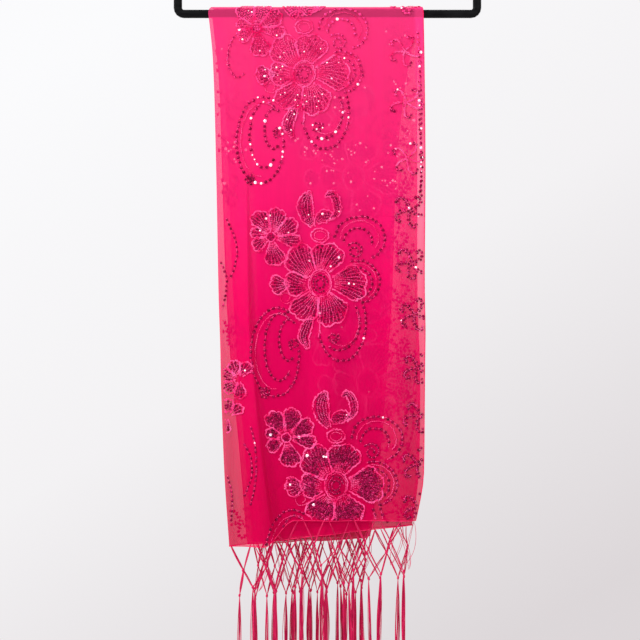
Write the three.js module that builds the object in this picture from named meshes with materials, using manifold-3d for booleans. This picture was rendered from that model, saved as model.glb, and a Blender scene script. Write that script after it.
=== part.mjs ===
// A fringed shawl, folded in three along its length and hung over the bar of a hanger.
// Millimetres, +Z up, the front towards -Y. The origin is the seat of the hook: the inside of its top.

import * as THREE from 'three';
import { mergeVertices } from 'three/addons/utils/BufferGeometryUtils.js';
import Module from 'manifold-3d';

const wasm = await Module();
wasm.setup();

// Hanger: one moulded piece, a closed frame with a fixed hook.
const BAR_DROP = 200; // hook seat to the middle of the bar
const FRAME_WIDTH = 400;
const TUBE_HALF_HEIGHT = 5.5;
const TUBE_HALF_DEPTH = 4.5;
const TUBE_SIDES = 12;
const BAR_CORNER_RADIUS = 8;
const END_HEIGHT = 46; // the upright ends of the frame
const SHOULDER_RADIUS = 16;
const NECK_DROP = 66;
const NECK_RADIUS = 22;
const COLLAR_RADIUS = 8;
const COLLAR_HEIGHT = 18;
const HOOK_INNER_RADIUS = 19;
const HOOK_WIRE_RADIUS = 3.6;
const HOOK_SIDES = 10;
const HOOK_TIP_ANGLE = 205;
const HOOK_LEAVES_ANGLE = -50;

// Cloth: three layers in each fall, joined at a left fold and a right fold.
const WALL = 1;
const SEAM = 0.3;
const COLUMNS = [7, 2, 2, 2]; // steps across a layer: to the crease, down it, up its ridge, and on
const SHORT_COLUMNS = 9; // steps across a layer that ends short of the crease
const FOLD_STEPS = 4;
const OVER_BAR_STEPS = 8;

// Where the edges of the layers lie, across from the middle of the bar, by the drop below it.
// The outer layer runs from rightEdge to foldOne, the middle one from foldOne to foldTwo,
// and the one next to the bar from foldTwo to leftEdge. crease is the top of a long upright ridge.
const FRONT_EDGES = [
  { drop: 0, foldOne: -155, crease: -106, leftEdge: -94, foldTwo: 117, rightEdge: 124 },
  { drop: 60, foldOne: -149, crease: -106, leftEdge: -94, foldTwo: 117, rightEdge: 125 },
  { drop: 200, foldOne: -144.5, crease: -105.5, leftEdge: -93, foldTwo: 117, rightEdge: 126 },
  { drop: 370, foldOne: -141, crease: -102.5, leftEdge: -90, foldTwo: 117, rightEdge: 125 },
  { drop: 430, foldOne: -139, crease: -100, leftEdge: -87.5, foldTwo: 118.5, rightEdge: 126 },
  { drop: 480, foldOne: -138, crease: -95, leftEdge: -83, foldTwo: 120.5, rightEdge: 125.5 },
  { drop: 540, foldOne: -136, crease: -89, leftEdge: -77, foldTwo: 120.5, rightEdge: 125 },
  { drop: 600, foldOne: -133.5, crease: -82, leftEdge: -70, foldTwo: 119.5, rightEdge: 124.5 },
  { drop: 640, foldOne: -131, crease: -77, leftEdge: -65, foldTwo: 117, rightEdge: 123 },
  { drop: 690, foldOne: -127.5, crease: -71, leftEdge: -59, foldTwo: 110, rightEdge: 114 },
];
const BACK_EDGES = [
  { drop: 0, leftEdge: -150, foldOne: -146, crease: 12, foldTwo: 117, rightEdge: 120 },
  { drop: 85, leftEdge: -141, foldOne: -135, crease: 12, foldTwo: 99, rightEdge: 102 },
  { drop: 200, leftEdge: -137, foldOne: -130, crease: 9, foldTwo: 87, rightEdge: 90 },
  { drop: 370, leftEdge: -131, foldOne: -124, crease: 2, foldTwo: 81, rightEdge: 84 },
  { drop: 480, leftEdge: -123.5, foldOne: -117, crease: -6, foldTwo: 74, rightEdge: 77 },
  { drop: 560, leftEdge: -115.5, foldOne: -110, crease: -12, foldTwo: 68, rightEdge: 71 },
  { drop: 620, leftEdge: -110.5, foldOne: -105, crease: -16, foldTwo: 61.5, rightEdge: 64.5 },
  { drop: 690, leftEdge: -105, foldOne: -99, crease: -20, foldTwo: 53, rightEdge: 56.5 },
];

// A fall: its side of the bar, its edges, how low its hem hangs at each edge,
// the widest gaps between its layers, its soft upright ripples, and how high its crease rises
// from one drop to another.
const FRONT_FALL = {
  side: -1,
  edges: FRONT_EDGES,
  hem: { rightEdge: 657, foldOne: 690, foldTwo: 663, leftEdge: 678 },
  gaps: { outer: 3.4, inner: 2.8 },
  crease: { height: 6.5, start: 150, full: 420 },
  ripples: [
    { height: 4.2, length: 83, shift: 0.6, lean: 0.5 },
    { height: 2.4, length: 47, shift: 2.1, lean: -0.9 },
  ],
};
const BACK_FALL = {
  side: 1,
  edges: BACK_EDGES,
  hem: { rightEdge: 682, foldOne: 688, foldTwo: 683, leftEdge: 691 },
  gaps: { outer: 3.3, inner: 2.8 },
  crease: { height: 5, start: 120, full: 480 },
  ripples: [
    { height: 7, length: 74, shift: 3.4, lean: 0.8 },
    { height: 2.6, length: 41, shift: 0.9, lean: -0.6 },
  ],
};
const CREASE_RAMP = 36; // across, from the flat cloth up to the ridge
const CREASE_FLANK = 8; // and down its other side
const HEM_TURN = [0.6, 0.86]; // the share of the outer layer over which its hem drops to foldOne's
const RIPPLE_START = 30; // below the bar
const RIPPLE_FULL = 520;
const LAYERS_PART = 260; // the drop at which the layers are fully apart
const FALL_SHARES = [0.02, 0.06, 0.12, 0.2, 0.29, 0.38, 0.47, 0.56, 0.64, 0.72, 0.79, 0.86, 0.93, 1];

// Fringe: a knotted net of two rows with a tassel under each lower knot.
const STRIP_HEIGHT = 4;
const STRIP_WALL = 2.2;
const ROOTS = 20;
const FIRST_ROW_DROP = 29;
const SECOND_ROW_DROP = 65;
const TASSEL_DROP = 184;
const STRAND_RADIUS = 1.2;
const TASSEL_STEP = 6; // between the longest and the next shorter tassels
const TASSEL_END_RADIUS = 2.6;
const KNOT_RADIUS = 2.3;
const KNOT_LIFT = 0.55;
const ROOT_SINK = 2;
const ROOT_PART = 0.1; // of the way to the next root, between the two strands of one root

const BLACK = { color: 0x0b0b0d, roughness: 0.32, metalness: 0 };
const PINK = { color: 0xd81559, roughness: 0.75, metalness: 0 };
const DEEP_PINK = { color: 0xb80f49, roughness: 0.7, metalness: 0 };

// A smooth value from a table whose rows rise in drop.
function tableValue(rows, column, drop) {
  const last = rows.length - 1;
  const slopeAt = (i) => {
    const before = rows[Math.max(i - 1, 0)];
    const after = rows[Math.min(i + 1, last)];
    return (after[column] - before[column]) / (after.drop - before.drop);
  };
  let i = 0;
  while (i < last - 1 && rows[i + 1].drop < drop) i++;
  const span = rows[i + 1].drop - rows[i].drop;
  const t = Math.min(Math.max((drop - rows[i].drop) / span, 0), 1);
  const rise = rows[i + 1][column] - rows[i][column];
  const ease = t * t * (3 - 2 * t);
  const start = t * (1 - t) * (1 - t) * span * slopeAt(i);
  const end = t * t * (t - 1) * span * slopeAt(i + 1);
  return rows[i][column] + rise * ease + start + end;
}

const easeBetween = (low, high, value) => THREE.MathUtils.smoothstep(value, low, high);

function toManifold(geometry) {
  const plain = geometry.clone();
  plain.deleteAttribute('normal');
  plain.deleteAttribute('uv');
  const merged = mergeVertices(plain, 1e-4);
  return new wasm.Manifold(new wasm.Mesh({
    numProp: 3,
    vertProperties: new Float32Array(merged.attributes.position.array),
    triVerts: new Uint32Array(merged.index.array),
  }));
}

function fromManifold(solid) {
  const mesh = solid.getMesh();
  const geometry = new THREE.BufferGeometry();
  geometry.setAttribute('position', new THREE.BufferAttribute(new Float32Array(mesh.vertProperties), 3));
  geometry.setIndex(new THREE.BufferAttribute(new Uint32Array(mesh.triVerts), 1));
  return geometry;
}

const joinAll = (geometries) => geometries.map(toManifold).reduce((whole, piece) => whole.add(piece));

function indexedGeometry(points, triangles) {
  const geometry = new THREE.BufferGeometry();
  geometry.setAttribute('position', new THREE.Float32BufferAttribute(points.flat(), 3));
  geometry.setIndex(triangles.flat());
  return geometry;
}

// A tube round a flat path in the XZ plane. Each path point may thin it by its scale.
function planarTube(path, halfHeight, halfDepth, sides, closed) {
  const points = [];
  const triangles = [];
  const count = path.length;
  path.forEach((p, i) => {
    const before = path[closed ? (i + count - 1) % count : Math.max(i - 1, 0)];
    const after = path[closed ? (i + 1) % count : Math.min(i + 1, count - 1)];
    const along = new THREE.Vector2(after.x - before.x, after.z - before.z).normalize();
    const scale = p.scale ?? 1;
    for (let k = 0; k < sides; k++) {
      const angle = (2 * Math.PI * k) / sides;
      const inPlane = halfHeight * scale * Math.cos(angle);
      points.push([p.x - along.y * inPlane, halfDepth * scale * Math.sin(angle), p.z + along.x * inPlane]);
    }
  });
  const rings = closed ? count : count - 1;
  for (let i = 0; i < rings; i++) {
    for (let k = 0; k < sides; k++) {
      const a = i * sides + k;
      const b = i * sides + ((k + 1) % sides);
      const c = ((i + 1) % count) * sides + k;
      const d = ((i + 1) % count) * sides + ((k + 1) % sides);
      triangles.push([a, c, b], [b, c, d]);
    }
  }
  if (!closed) {
    for (let k = 1; k < sides - 1; k++) {
      const end = (count - 1) * sides;
      triangles.push([0, k, k + 1], [end, end + k + 1, end + k]);
    }
  }
  return indexedGeometry(points, triangles);
}

// Rounds each corner of an outline with an arc of its own radius.
function roundedOutline(corners) {
  const path = [];
  corners.forEach((corner, i) => {
    const at = new THREE.Vector2(corner.x, corner.z);
    const before = corners[(i + corners.length - 1) % corners.length];
    const after = corners[(i + 1) % corners.length];
    const back = new THREE.Vector2(before.x, before.z).sub(at).normalize();
    const ahead = new THREE.Vector2(after.x, after.z).sub(at).normalize();
    const half = back.angleTo(ahead) / 2;
    const reach = corner.radius / Math.tan(half);
    const from = at.clone().addScaledVector(back, reach);
    const to = at.clone().addScaledVector(ahead, reach);
    const centre = at.clone().addScaledVector(back.clone().add(ahead).normalize(), corner.radius / Math.sin(half));
    const steps = corner.steps;
    const start = from.clone().sub(centre);
    const turn = Math.PI - 2 * half;
    const sign = Math.sign(start.cross(to.clone().sub(centre)));
    for (let k = 0; k <= steps; k++) {
      const spot = from.clone().rotateAround(centre, (sign * turn * k) / steps);
      path.push({ x: spot.x, z: spot.y });
    }
  });
  return path;
}

function hangerFrame() {
  const side = FRAME_WIDTH / 2 - TUBE_HALF_HEIGHT;
  const shoulder = -BAR_DROP + END_HEIGHT;
  return planarTube(roundedOutline([
    { x: -side, z: -BAR_DROP, radius: BAR_CORNER_RADIUS, steps: 4 },
    { x: side, z: -BAR_DROP, radius: BAR_CORNER_RADIUS, steps: 4 },
    { x: side, z: shoulder, radius: SHOULDER_RADIUS, steps: 4 },
    { x: 0, z: -NECK_DROP, radius: NECK_RADIUS, steps: 4 },
    { x: -side, z: shoulder, radius: SHOULDER_RADIUS, steps: 4 },
  ]), TUBE_HALF_HEIGHT, TUBE_HALF_DEPTH, TUBE_SIDES, true);
}

function hangerHook() {
  const radius = HOOK_INNER_RADIUS + HOOK_WIRE_RADIUS;
  const centre = -HOOK_INNER_RADIUS;
  const onCircle = (degrees) => {
    const angle = THREE.MathUtils.degToRad(degrees);
    return { x: radius * Math.cos(angle), z: centre + radius * Math.sin(angle) };
  };
  const path = [];
  const steps = 16;
  for (let k = 0; k <= steps; k++) {
    path.push(onCircle(THREE.MathUtils.lerp(HOOK_TIP_ANGLE, HOOK_LEAVES_ANGLE, k / steps)));
  }
  // The tip is rounded by three thinner rings before the first one.
  const tip = [{ beyond: 4, scale: 0.35 }, { beyond: 3, scale: 0.78 }, { beyond: 1.6, scale: 0.94 }];
  const rounded = tip.map(({ beyond, scale }) => (
    { ...onCircle(HOOK_TIP_ANGLE + THREE.MathUtils.radToDeg(beyond / radius)), scale }));
  // From the circle the wire bends back to the middle and down into the collar.
  const leaves = path.at(-1);
  const angle = THREE.MathUtils.degToRad(HOOK_LEAVES_ANGLE);
  const reach = 11;
  const bend = new THREE.CubicBezierCurve(
    new THREE.Vector2(leaves.x, leaves.z),
    new THREE.Vector2(leaves.x + Math.sin(angle) * reach, leaves.z - Math.cos(angle) * reach),
    new THREE.Vector2(0, -NECK_DROP + COLLAR_HEIGHT + reach * 0.6),
    new THREE.Vector2(0, -NECK_DROP + COLLAR_HEIGHT - reach * 0.6),
  );
  const stem = bend.getPoints(6).slice(1).map((p) => ({ x: p.x, z: p.y }));
  const root = { x: 0, z: -NECK_DROP };
  return planarTube([...rounded, ...path, ...stem, root], HOOK_WIRE_RADIUS, HOOK_WIRE_RADIUS, HOOK_SIDES, false);
}

function hangerCollar() {
  const foot = -NECK_DROP - NECK_RADIUS * 0.25;
  const top = -NECK_DROP + COLLAR_HEIGHT;
  const profile = [
    new THREE.Vector2(0, foot),
    new THREE.Vector2(COLLAR_RADIUS * 0.75, foot),
    new THREE.Vector2(COLLAR_RADIUS, foot + COLLAR_RADIUS * 0.3),
    new THREE.Vector2(COLLAR_RADIUS * 0.9, top - COLLAR_RADIUS * 0.4),
    new THREE.Vector2(COLLAR_RADIUS * 0.6, top),
    new THREE.Vector2(0, top),
  ];
  return new THREE.LatheGeometry(profile, 16).rotateX(Math.PI / 2);
}

// How far the ripples and the crease push a layer out from the bar at this place.
function ripple(fall, x, drop) {
  const { height, start, full } = fall.crease;
  const beside = x - tableValue(fall.edges, 'crease', drop);
  const risen = beside < 0 ? easeBetween(-CREASE_RAMP, 0, beside) : 1 - easeBetween(0, CREASE_FLANK, beside);
  const ridge = height * easeBetween(start, full, drop) * risen;
  const grown = easeBetween(RIPPLE_START, RIPPLE_FULL, drop);
  const sway = fall.ripples.map(({ height, length, shift, lean }) => (
    height * (0.5 + 0.5 * Math.sin((2 * Math.PI * x) / length + shift + (lean * drop) / RIPPLE_FULL))));
  return ridge + grown * sway.reduce((sum, part) => sum + part, 0);
}

// Shares of the way across a layer, close together on the crease where the layer reaches it.
function layerShares(fromX, toX, creaseX) {
  const left = Math.min(fromX, toX);
  if (left > creaseX) return Array.from({ length: SHORT_COLUMNS + 1 }, (_, k) => k / SHORT_COLUMNS);
  const right = Math.max(fromX, toX);
  const marks = [right, creaseX + CREASE_FLANK, creaseX, creaseX - CREASE_RAMP, left];
  const places = [right];
  COLUMNS.forEach((steps, i) => {
    for (let k = 1; k <= steps; k++) places.push(THREE.MathUtils.lerp(marks[i], marks[i + 1], k / steps));
  });
  const shares = places.map((x) => (x - right) / (left - right));
  return fromX > toX ? shares : shares.map((share) => 1 - share).reverse();
}

// The middle line of the folded layers at one share of the fall, from the right edge of the
// outer layer to the left edge of the inner one: across x, out from the bar, and the hem's drop.
function foldedLine(fall, share) {
  const deepest = Math.max(...Object.values(fall.hem));
  const drop = share * deepest;
  const edge = (column) => tableValue(fall.edges, column, drop);
  const parted = easeBetween(0, LAYERS_PART, drop);
  const innerStep = WALL + THREE.MathUtils.lerp(SEAM, fall.gaps.inner, parted);
  const outerStep = WALL + THREE.MathUtils.lerp(SEAM, fall.gaps.outer, parted);
  const inner = SEAM + WALL / 2;
  const middle = inner + innerStep;
  const outer = middle + outerStep;
  const line = [];
  const layer = (fromX, toX, out, fromHem, toHem, hemTurn = [0, 1]) => {
    layerShares(fromX, toX, edge('crease')).forEach((t) => {
      const x = THREE.MathUtils.lerp(fromX, toX, t);
      const turned = hemTurn[0] > 0 ? easeBetween(...hemTurn, t) : t;
      line.push({ x, out: out + ripple(fall, x, drop), hem: THREE.MathUtils.lerp(fromHem, toHem, turned) });
    });
  };
  const turn = (x, fromOut, toOut, bulge, hem) => {
    const radius = Math.abs(fromOut - toOut) / 2;
    for (let k = 1; k < FOLD_STEPS; k++) {
      const angle = (Math.PI * k) / FOLD_STEPS;
      const out = (fromOut + toOut) / 2 + radius * Math.cos(angle) + ripple(fall, x, drop);
      line.push({ x: x + bulge * radius * Math.sin(angle), out, hem });
    }
  };
  const oneX = edge('foldOne') + WALL / 2 + outerStep / 2;
  const twoX = edge('foldTwo') - WALL / 2 - innerStep / 2;
  const { hem } = fall;
  layer(edge('rightEdge'), oneX, outer, hem.rightEdge, hem.foldOne, HEM_TURN);
  turn(oneX, outer, middle, -1, hem.foldOne);
  layer(oneX, twoX, middle, hem.foldOne, hem.foldTwo);
  turn(twoX, middle, inner, 1, hem.foldTwo);
  layer(twoX, edge('leftEdge'), inner, hem.foldTwo, hem.leftEdge);
  return line;
}

// Both faces of the wall round a middle line: one point each side of every point of it.
function wallFaces(line, wall) {
  return line.map((p, i) => {
    const before = line[Math.max(i - 1, 0)];
    const after = line[Math.min(i + 1, line.length - 1)];
    const along = new THREE.Vector2(after.x - before.x, after.out - before.out).normalize();
    const shift = (sign) => (
      { x: p.x - sign * along.y * wall / 2, out: p.out + sign * along.x * wall / 2, hem: p.hem });
    return { near: shift(1), far: shift(-1) };
  });
}

// Where a section's point lies in space when it hangs below the bar.
function hanging(fall, point, share, lower = 0) {
  return [point.x, fall.side * (TUBE_HALF_DEPTH + point.out), -BAR_DROP - share * point.hem - lower];
}

// Where it lies on its way over the bar, by the angle from the front.
function overBar(point, angle) {
  const y = -TUBE_HALF_DEPTH * Math.cos(angle);
  const z = TUBE_HALF_HEIGHT * Math.sin(angle);
  const out = new THREE.Vector2(-TUBE_HALF_HEIGHT * Math.cos(angle), TUBE_HALF_DEPTH * Math.sin(angle)).normalize();
  return [point.x, y + out.x * point.out, -BAR_DROP + z + out.y * point.out];
}

// Joins placed sections into one closed wall. Each section lists its near and far points.
function wallSolid(sections, mirrored) {
  const columns = sections[0].length;
  const points = sections.flatMap((section) => section.flatMap(({ near, far }) => [near, far]));
  const index = (row, column, face) => (row * columns + column) * 2 + face;
  const triangles = [];
  const quad = (a, b, c, d) => triangles.push([a, b, c], [a, c, d]);
  const lastRow = sections.length - 1;
  const lastColumn = columns - 1;
  for (let r = 0; r < lastRow; r++) {
    for (let c = 0; c < lastColumn; c++) {
      quad(index(r, c, 0), index(r, c + 1, 0), index(r + 1, c + 1, 0), index(r + 1, c, 0));
      quad(index(r, c, 1), index(r + 1, c, 1), index(r + 1, c + 1, 1), index(r, c + 1, 1));
    }
    quad(index(r, 0, 0), index(r + 1, 0, 0), index(r + 1, 0, 1), index(r, 0, 1));
    quad(index(r, lastColumn, 0), index(r, lastColumn, 1), index(r + 1, lastColumn, 1), index(r + 1, lastColumn, 0));
  }
  for (let c = 0; c < lastColumn; c++) {
    quad(index(0, c, 0), index(0, c, 1), index(0, c + 1, 1), index(0, c + 1, 0));
    quad(index(lastRow, c, 0), index(lastRow, c + 1, 0), index(lastRow, c + 1, 1), index(lastRow, c, 1));
  }
  const facing = mirrored ? triangles.map(([a, b, c]) => [a, c, b]) : triangles;
  return indexedGeometry(points, facing);
}

function placedSection(line, wall, place) {
  return wallFaces(line, wall).map(({ near, far }) => ({ near: place(near), far: place(far) }));
}

const fallSections = (fall, shares) => shares.map((share) => (
  placedSection(foldedLine(fall, share), WALL, (point) => hanging(fall, point, share))));

// The front fall also carries the stretch over the bar, down to the seam behind it.
function clothFrontFall() {
  const top = foldedLine(FRONT_FALL, 0);
  const overTop = [];
  for (let k = 0; k <= OVER_BAR_STEPS; k++) {
    const angle = Math.PI * (1 - k / OVER_BAR_STEPS);
    overTop.push(placedSection(top, WALL, (point) => overBar(point, angle)));
  }
  return wallSolid([...overTop, ...fallSections(FRONT_FALL, FALL_SHARES)], true);
}

function clothBackFall() {
  const top = placedSection(foldedLine(BACK_FALL, 0), WALL, (point) => hanging(BACK_FALL, point, 0, SEAM));
  return wallSolid([top, ...fallSections(BACK_FALL, FALL_SHARES)], false);
}

// A three-sided strand through a row of places, with its own radius at each.
function strand(places) {
  const spots = places.map(({ at }) => new THREE.Vector3(...at));
  const last = spots.length - 1;
  const points = spots.flatMap((spot, i) => {
    const along = spots[Math.min(i + 1, last)].clone().sub(spots[Math.max(i - 1, 0)]).normalize();
    const across = new THREE.Vector3(0, 1, 0).cross(along).normalize();
    const deep = along.clone().cross(across);
    return [0, 1, 2].map((k) => {
      const angle = Math.PI * (0.5 + (2 * k) / 3);
      return spot.clone()
        .addScaledVector(across, places[i].radius * Math.cos(angle))
        .addScaledVector(deep, places[i].radius * Math.sin(angle))
        .toArray();
    });
  });
  const sides = [];
  for (let i = 0; i < last; i++) {
    for (let k = 0; k < 3; k++) {
      const here = i * 3 + k;
      const next = i * 3 + ((k + 1) % 3);
      sides.push([here, next, next + 3], [here, next + 3, here + 3]);
    }
  }
  const end = last * 3;
  return indexedGeometry(points, [[0, 2, 1], [end, end + 1, end + 2], ...sides]);
}

// The fringe of one hem: a strip just under the cloth, and the knotted net and tassels fused to it.
function fringe(fall) {
  const line = foldedLine(fall, 1);
  const lengths = [0];
  line.slice(1).forEach((p, i) => {
    lengths.push(lengths[i] + Math.hypot(p.x - line[i].x, p.out - line[i].out));
  });
  const onHem = (share, below, lift = 0) => {
    const wanted = share * lengths.at(-1);
    let i = 0;
    while (i < line.length - 2 && lengths[i + 1] < wanted) i++;
    const t = (wanted - lengths[i]) / (lengths[i + 1] - lengths[i]);
    const mixed = (key) => THREE.MathUtils.lerp(line[i][key], line[i + 1][key], t);
    return hanging(fall, { x: mixed('x'), out: mixed('out') + lift, hem: mixed('hem') }, 1, below);
  };
  const stripRow = (lower) => placedSection(line, STRIP_WALL, (point) => hanging(fall, point, 1, lower));
  const strip = wallSolid([stripRow(SEAM), stripRow(SEAM + STRIP_HEIGHT)], fall.side < 0);

  // Two strands leave each root, cross their neighbours in the first row of knots, and meet
  // in the second, where a tassel hangs. One passes over the other in each knot.
  const rootShare = (i) => (i + 0.5) / ROOTS;
  const pieces = [strip];
  for (let i = 0; i < ROOTS; i++) {
    [-1, 1].forEach((way) => {
      const high = rootShare(i + way / 2);
      if (high <= 0 || high >= 1) return;
      pieces.push(strand([
        { at: onHem(rootShare(i + way * ROOT_PART), SEAM + STRIP_HEIGHT - ROOT_SINK), radius: STRAND_RADIUS },
        { at: onHem(high, FIRST_ROW_DROP, way * KNOT_LIFT), radius: KNOT_RADIUS },
        { at: onHem(rootShare(i + way), SECOND_ROW_DROP, -way * KNOT_LIFT), radius: STRAND_RADIUS },
      ]));
    });
    const end = TASSEL_DROP - TASSEL_STEP * ((i * 7) % 3);
    pieces.push(strand([
      { at: onHem(rootShare(i), SECOND_ROW_DROP - KNOT_RADIUS), radius: KNOT_RADIUS },
      { at: onHem(rootShare(i), end), radius: TASSEL_END_RADIUS },
    ]));
  }
  return fromManifold(joinAll(pieces));
}

function hanger() {
  return fromManifold(joinAll([hangerFrame(), hangerHook(), hangerCollar()]));
}

const group = new THREE.Group();
const add = (name, geometry, look) => {
  const mesh = new THREE.Mesh(geometry, new THREE.MeshStandardMaterial(look));
  mesh.name = name;
  group.add(mesh);
};

add('hanger', hanger(), BLACK);
add('cloth_front_fall', clothFrontFall(), PINK);
add('cloth_back_fall', clothBackFall(), PINK);
add('fringe_front', fringe(FRONT_FALL), DEEP_PINK);
add('fringe_back', fringe(BACK_FALL), DEEP_PINK);

export default group;
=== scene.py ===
"""A sheer embroidered shawl with a knotted fringe, folded in three and hung over a hanger's bar.
Tables and drawing sizes are in millimetres, as a maker would note them; meshes are in metres."""

import math

import bmesh
import bpy
import numpy as np
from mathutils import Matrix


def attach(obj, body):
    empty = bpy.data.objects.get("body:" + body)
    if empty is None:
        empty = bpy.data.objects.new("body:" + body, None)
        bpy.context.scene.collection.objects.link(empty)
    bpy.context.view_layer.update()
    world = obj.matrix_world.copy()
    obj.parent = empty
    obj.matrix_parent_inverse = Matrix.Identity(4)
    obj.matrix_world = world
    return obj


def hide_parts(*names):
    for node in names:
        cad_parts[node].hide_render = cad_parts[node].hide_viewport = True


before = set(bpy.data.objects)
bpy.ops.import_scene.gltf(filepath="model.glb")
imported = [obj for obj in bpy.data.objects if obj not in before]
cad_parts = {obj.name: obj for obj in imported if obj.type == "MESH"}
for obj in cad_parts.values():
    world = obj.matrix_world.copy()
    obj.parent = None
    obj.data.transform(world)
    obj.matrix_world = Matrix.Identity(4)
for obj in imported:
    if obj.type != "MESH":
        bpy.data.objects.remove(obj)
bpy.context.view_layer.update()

MM = 0.001
rng = np.random.default_rng(41)

# Hanger and folded cloth, the same sizes as the solids have.
BAR_DROP = 200.0
BAR_HALF_HEIGHT = 5.5
BAR_HALF_DEPTH = 4.5
WALL = 1.0
SEAM = 0.3
RIPPLE_START = 30.0
RIPPLE_FULL = 520.0
LAYERS_PART = 260.0
CUT_WIDTH = 700.0
CUT_LENGTH = 1375.0

# The outer layer runs from right_edge to fold_one, the middle one from fold_one to fold_two, and the
# one next to the bar from fold_two to left_edge. crease is the top of a long upright ridge.
EDGE_COLUMNS = ("drop", "fold_one", "crease", "left_edge", "fold_two", "right_edge")
FRONT_EDGES = (
    (0, -155, -106, -94, 117, 124),
    (60, -149, -106, -94, 117, 125),
    (200, -144.5, -105.5, -93, 117, 126),
    (370, -141, -102.5, -90, 117, 125),
    (430, -139, -100, -87.5, 118.5, 126),
    (480, -138, -95, -83, 120.5, 125.5),
    (540, -136, -89, -77, 120.5, 125),
    (600, -133.5, -82, -70, 119.5, 124.5),
    (640, -131, -77, -65, 117, 123),
    (690, -127.5, -71, -59, 110, 114),
)
BACK_EDGES = (
    (0, -146, 12, -150, 117, 120),
    (85, -135, 12, -141, 99, 102),
    (200, -130, 9, -137, 87, 90),
    (370, -124, 2, -131, 81, 84),
    (480, -117, -6, -123.5, 74, 77),
    (560, -110, -12, -115.5, 68, 71),
    (620, -105, -16, -110.5, 61.5, 64.5),
    (690, -99, -20, -105, 53, 56.5),
)
FRONT_FALL = {
    "side": -1,
    "edges": FRONT_EDGES,
    "hem": {"right_edge": 657, "fold_one": 690, "fold_two": 663, "left_edge": 678},
    "gaps": {"outer": 3.4, "inner": 2.8},
    "crease": {"height": 6.5, "start": 150, "full": 420},
    "ripples": ((4.2, 83, 0.6, 0.5), (2.4, 47, 2.1, -0.9)),
}
BACK_FALL = {
    "side": 1,
    "edges": BACK_EDGES,
    "hem": {"right_edge": 682, "fold_one": 688, "fold_two": 683, "left_edge": 691},
    "gaps": {"outer": 3.3, "inner": 2.8},
    "crease": {"height": 5, "start": 120, "full": 480},
    "ripples": ((7, 74, 3.4, 0.8), (2.6, 41, 0.9, -0.6)),
}
CREASE_RAMP = 36.0
CREASE_FLANK = 5.0
# Where the crease begins, if the layer ends close beside it, as a share of the way to its top.
CREASE_FOOT = 0.15
HEM_TURN = (0.66, 0.82)

# Steps of the cloth's mesh.
LAYER_COLUMNS = (26, 7, 10, 5)
COLUMNS_GATHER = (20.0, 140.0)
FOLD_STEPS = 8
FALL_ROWS = 128
BAR_ROWS = 18


def smooth(low, high, value):
    t = np.clip((value - low) / (high - low), 0, 1)
    return t * t * (3 - 2 * t)


def mix(a, b, t):
    return a + (b - a) * t


def unit(ways):
    return ways / np.linalg.norm(ways, axis=-1, keepdims=True)


def edge_at(fall, column, drop):
    """Where an edge lies across, at a drop below the bar: a smooth curve through its table."""
    rows = np.array(fall["edges"], float)
    drops, places = rows[:, 0], rows[:, EDGE_COLUMNS.index(column)]
    last = len(drops) - 1
    before = np.maximum(np.arange(last + 1) - 1, 0)
    after = np.minimum(np.arange(last + 1) + 1, last)
    slopes = (places[after] - places[before]) / (drops[after] - drops[before])
    i = np.clip(np.searchsorted(drops, drop) - 1, 0, last - 1)
    span = drops[i + 1] - drops[i]
    t = np.clip((drop - drops[i]) / span, 0, 1)
    ease = smooth(0, 1, t)
    start = t * (1 - t) ** 2 * span * slopes[i]
    end = t * t * (t - 1) * span * slopes[i + 1]
    return places[i] + (places[i + 1] - places[i]) * ease + start + end


def ripple(fall, x, drop):
    """How far the soft upright ripples and the crease push the cloth out from the bar."""
    out = 0
    for height, length, shift, lean in fall["ripples"]:
        wave = np.sin(2 * np.pi * x / length + shift + lean * drop / RIPPLE_FULL)
        out = out + height * (0.5 + 0.5 * wave)
    beside = x - edge_at(fall, "crease", drop)
    risen = np.where(beside < 0, smooth(-CREASE_RAMP, 0, beside), 1 - smooth(0, CREASE_FLANK, beside))
    crease = fall["crease"]
    ridge = crease["height"] * smooth(crease["start"], crease["full"], drop) * risen
    return ridge + out * smooth(RIPPLE_START, RIPPLE_FULL, drop)


def layer_places(fall, drop):
    """Each layer's distance out from the bar, and the two folds' turning points."""
    parted = smooth(0, LAYERS_PART, drop)
    inner_step = WALL + mix(SEAM, fall["gaps"]["inner"], parted)
    outer_step = WALL + mix(SEAM, fall["gaps"]["outer"], parted)
    inner = SEAM + WALL / 2
    return {
        "inner": inner,
        "middle": inner + inner_step,
        "outer": inner + inner_step + outer_step,
        "turn_one": edge_at(fall, "fold_one", drop) + WALL / 2 + outer_step / 2,
        "turn_two": edge_at(fall, "fold_two", drop) - WALL / 2 - inner_step / 2,
        "right": edge_at(fall, "right_edge", drop),
        "left": edge_at(fall, "left_edge", drop),
    }


LAYER_ENDS = {
    "outer": ("right", "turn_one", "right_edge", "fold_one"),
    "middle": ("turn_one", "turn_two", "fold_one", "fold_two"),
    "inner": ("turn_two", "left", "fold_two", "left_edge"),
}


def deepest(fall):
    return max(fall["hem"].values())


def hem_along(fall, name, t):
    """How low a layer's hem hangs, by the share of the way across it."""
    _, _, start_hem, end_hem = LAYER_ENDS[name]
    if name == "outer":
        t = smooth(*HEM_TURN, t)
    return mix(fall["hem"][start_hem], fall["hem"][end_hem], t)


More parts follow.
